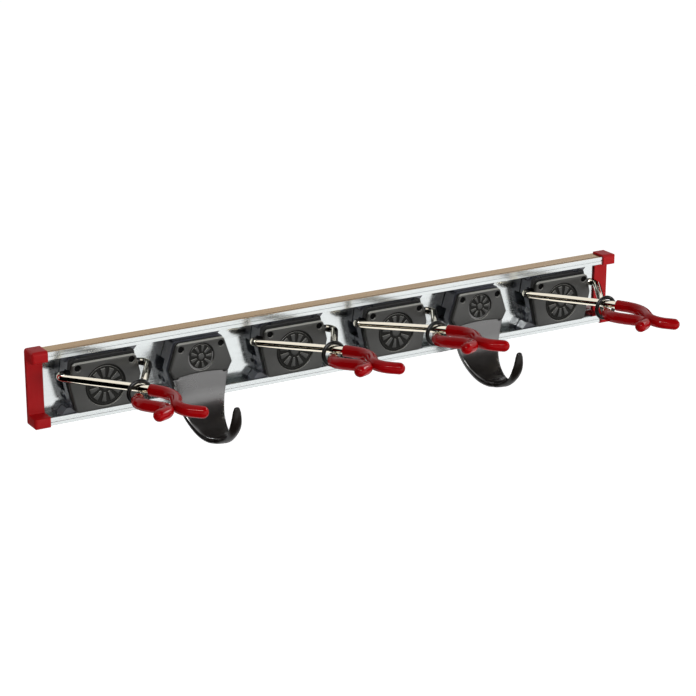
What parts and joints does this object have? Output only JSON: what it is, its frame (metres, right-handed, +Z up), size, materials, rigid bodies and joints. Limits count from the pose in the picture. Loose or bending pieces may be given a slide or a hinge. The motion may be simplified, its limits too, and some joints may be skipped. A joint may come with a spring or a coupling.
{
  "type": "clamp rack",
  "caption": "Wall rail with end caps, sliding clamps whose crossed, dipped rod arms grip a tool handle, and sliding J-shaped hooks.",
  "frame": {"origin": "centre of the rail's back face, against the wall", "axes": "+X along the rail, -Y towards the front, +Z up"},
  "size_m": [0.5, 0.1451, 0.0783],
  "materials": {
    "rail_aluminium": "bright drawn aluminium, polished web",
    "cap_red": "semi-gloss moulded",
    "nylon_black": "fine-grained moulded nylon",
    "screw_steel": "black oxide",
    "rod_chrome": "chrome-plated steel rod",
    "rubber_black": "smooth rubber",
    "grip_red": "dip-coated soft vinyl",
    "hook_black": "glossy moulded nylon"
  },
  "bodies": {
    "rail": {"rail": "rail_aluminium", "left_end_cap": "cap_red", "right_end_cap": "cap_red"},
    "clamp_1_carriage": {"clamp_1_base": "nylon_black", "clamp_1_cover": "nylon_black", "clamp_1_screws": "screw_steel", "clamp_1_pins": "rod_chrome"},
    "clamp_1_left_swing": {"clamp_1_left_arm": "rod_chrome", "clamp_1_left_sleeve": "rubber_black", "clamp_1_left_grip": "grip_red"},
    "clamp_1_right_swing": {"clamp_1_right_arm": "rod_chrome", "clamp_1_right_sleeve": "rubber_black", "clamp_1_right_grip": "grip_red"},
    "clamp_1_band": {"clamp_1_ring": "rubber_black"},
    "clamp_2_carriage": {"clamp_2_base": "nylon_black", "clamp_2_cover": "nylon_black", "clamp_2_screws": "screw_steel", "clamp_2_pins": "rod_chrome"},
    "clamp_2_left_swing": {"clamp_2_left_arm": "rod_chrome", "clamp_2_left_sleeve": "rubber_black", "clamp_2_left_grip": "grip_red"},
    "clamp_2_right_swing": {"clamp_2_right_arm": "rod_chrome", "clamp_2_right_sleeve": "rubber_black", "clamp_2_right_grip": "grip_red"},
    "clamp_2_band": {"clamp_2_ring": "rubber_black"},
    "clamp_3_carriage": {"clamp_3_base": "nylon_black", "clamp_3_cover": "nylon_black", "clamp_3_screws": "screw_steel", "clamp_3_pins": "rod_chrome"},
    "clamp_3_left_swing": {"clamp_3_left_arm": "rod_chrome", "clamp_3_left_sleeve": "rubber_black", "clamp_3_left_grip": "grip_red"},
    "clamp_3_right_swing": {"clamp_3_right_arm": "rod_chrome", "clamp_3_right_sleeve": "rubber_black", "clamp_3_right_grip": "grip_red"},
    "clamp_3_band": {"clamp_3_ring": "rubber_black"},
    "clamp_4_carriage": {"clamp_4_base": "nylon_black", "clamp_4_cover": "nylon_black", "clamp_4_screws": "screw_steel", "clamp_4_pins": "rod_chrome"},
    "clamp_4_left_swing": {"clamp_4_left_arm": "rod_chrome", "clamp_4_left_sleeve": "rubber_black", "clamp_4_left_grip": "grip_red"},
    "clamp_4_right_swing": {"clamp_4_right_arm": "rod_chrome", "clamp_4_right_sleeve": "rubber_black", "clamp_4_right_grip": "grip_red"},
    "clamp_4_band": {"clamp_4_ring": "rubber_black"},
    "hook_1_carriage": {"hook_1_base": "nylon_black", "hook_1_cover": "nylon_black", "hook_1_screws": "screw_steel", "hook_1_body": "hook_black"},
    "hook_2_carriage": {"hook_2_base": "nylon_black", "hook_2_cover": "nylon_black", "hook_2_screws": "screw_steel", "hook_2_body": "hook_black"}
  },
  "joints": [
    {"name": "clamp_1_slide", "type": "slide", "parent": "rail", "child": "clamp_1_carriage", "axis": [1, 0, 0], "range_m": [-0.0093, 0.007]},
    {"name": "clamp_1_left_hinge", "type": "hinge", "parent": "clamp_1_carriage", "child": "clamp_1_left_swing", "pos_m": [-0.2134, -0.0133, 0.0093], "axis": [-0.2588, -0.0253, 0.9656], "range_deg": [0, 8], "stiffness_Nm_per_rad": 0.05},
    {"name": "clamp_1_right_hinge", "type": "hinge", "parent": "clamp_1_carriage", "child": "clamp_1_right_swing", "pos_m": [-0.1834, -0.0133, 0.0093], "axis": [-0.2588, 0.0253, -0.9656], "range_deg": [0, 8], "stiffness_Nm_per_rad": 0.05},
    {"name": "clamp_1_band_slide", "type": "slide", "parent": "clamp_1_carriage", "child": "clamp_1_band", "axis": [0, 0.9985, 0.055], "range_m": [0, 0.01387]},
    {"name": "clamp_2_slide", "type": "slide", "parent": "rail", "child": "clamp_2_carriage", "axis": [1, 0, 0], "range_m": [-0.0074, 0.005]},
    {"name": "clamp_2_left_hinge", "type": "hinge", "parent": "clamp_2_carriage", "child": "clamp_2_left_swing", "pos_m": [-0.0616, -0.0133, 0.0093], "axis": [-0.2588, 0.0051, 0.9659], "range_deg": [0, 8], "stiffness_Nm_per_rad": 0.05},
    {"name": "clamp_2_right_hinge", "type": "hinge", "parent": "clamp_2_carriage", "child": "clamp_2_right_swing", "pos_m": [-0.0316, -0.0133, 0.0093], "axis": [-0.2588, -0.0051, -0.9659], "range_deg": [0, 8], "stiffness_Nm_per_rad": 0.05},
    {"name": "clamp_2_band_slide", "type": "slide", "parent": "clamp_2_carriage", "child": "clamp_2_band", "axis": [0, 0.9997, 0.0237], "range_m": [0, 0.01387]},
    {"name": "clamp_3_slide", "type": "slide", "parent": "rail", "child": "clamp_3_carriage", "axis": [1, 0, 0], "range_m": [-0.005, 0.0074]},
    {"name": "clamp_3_left_hinge", "type": "hinge", "parent": "clamp_3_carriage", "child": "clamp_3_left_swing", "pos_m": [0.0256, -0.0133, 0.0093], "axis": [-0.2588, 0.0185, 0.9657], "range_deg": [0, 8], "stiffness_Nm_per_rad": 0.05},
    {"name": "clamp_3_right_hinge", "type": "hinge", "parent": "clamp_3_carriage", "child": "clamp_3_right_swing", "pos_m": [0.0556, -0.0133, 0.0093], "axis": [-0.2588, -0.0185, -0.9657], "range_deg": [0, 8], "stiffness_Nm_per_rad": 0.05},
    {"name": "clamp_3_band_slide", "type": "slide", "parent": "clamp_3_carriage", "child": "clamp_3_band", "axis": [0, 1, 0.0097], "range_m": [0, 0.01387]},
    {"name": "clamp_4_slide", "type": "slide", "parent": "rail", "child": "clamp_4_carriage", "axis": [1, 0, 0], "range_m": [-0.0077, 0.0141]},
    {"name": "clamp_4_left_hinge", "type": "hinge", "parent": "clamp_4_carriage", "child": "clamp_4_left_swing", "pos_m": [0.1786, -0.0133, 0.0093], "axis": [-0.2588, -0.0455, 0.9649], "range_deg": [0, 8], "stiffness_Nm_per_rad": 0.05},
    {"name": "clamp_4_right_hinge", "type": "hinge", "parent": "clamp_4_carriage", "child": "clamp_4_right_swing", "pos_m": [0.2086, -0.0133, 0.0093], "axis": [-0.2588, 0.0455, -0.9649], "range_deg": [0, 8], "stiffness_Nm_per_rad": 0.05},
    {"name": "clamp_4_band_slide", "type": "slide", "parent": "clamp_4_carriage", "child": "clamp_4_band", "axis": [0, 0.9971, 0.0759], "range_m": [0, 0.01387]},
    {"name": "hook_1_slide", "type": "slide", "parent": "rail", "child": "hook_1_carriage", "axis": [1, 0, 0], "range_m": [-0.007, 0.0074]},
    {"name": "hook_2_slide", "type": "slide", "parent": "rail", "child": "hook_2_carriage", "axis": [1, 0, 0], "range_m": [-0.0074, 0.0077]}
  ],
  "couplings": [
    {"joint": "clamp_1_right_hinge", "follows": "clamp_1_left_hinge", "ratio": 1},
    {"joint": "clamp_1_band_slide", "follows": "clamp_1_left_hinge", "m_per_rad": 0.09916},
    {"joint": "clamp_2_right_hinge", "follows": "clamp_2_left_hinge", "ratio": 1},
    {"joint": "clamp_2_band_slide", "follows": "clamp_2_left_hinge", "m_per_rad": 0.09916},
    {"joint": "clamp_3_right_hinge", "follows": "clamp_3_left_hinge", "ratio": 1},
    {"joint": "clamp_3_band_slide", "follows": "clamp_3_left_hinge", "m_per_rad": 0.09916},
    {"joint": "clamp_4_right_hinge", "follows": "clamp_4_left_hinge", "ratio": 1},
    {"joint": "clamp_4_band_slide", "follows": "clamp_4_left_hinge", "m_per_rad": 0.09916}
  ]
}
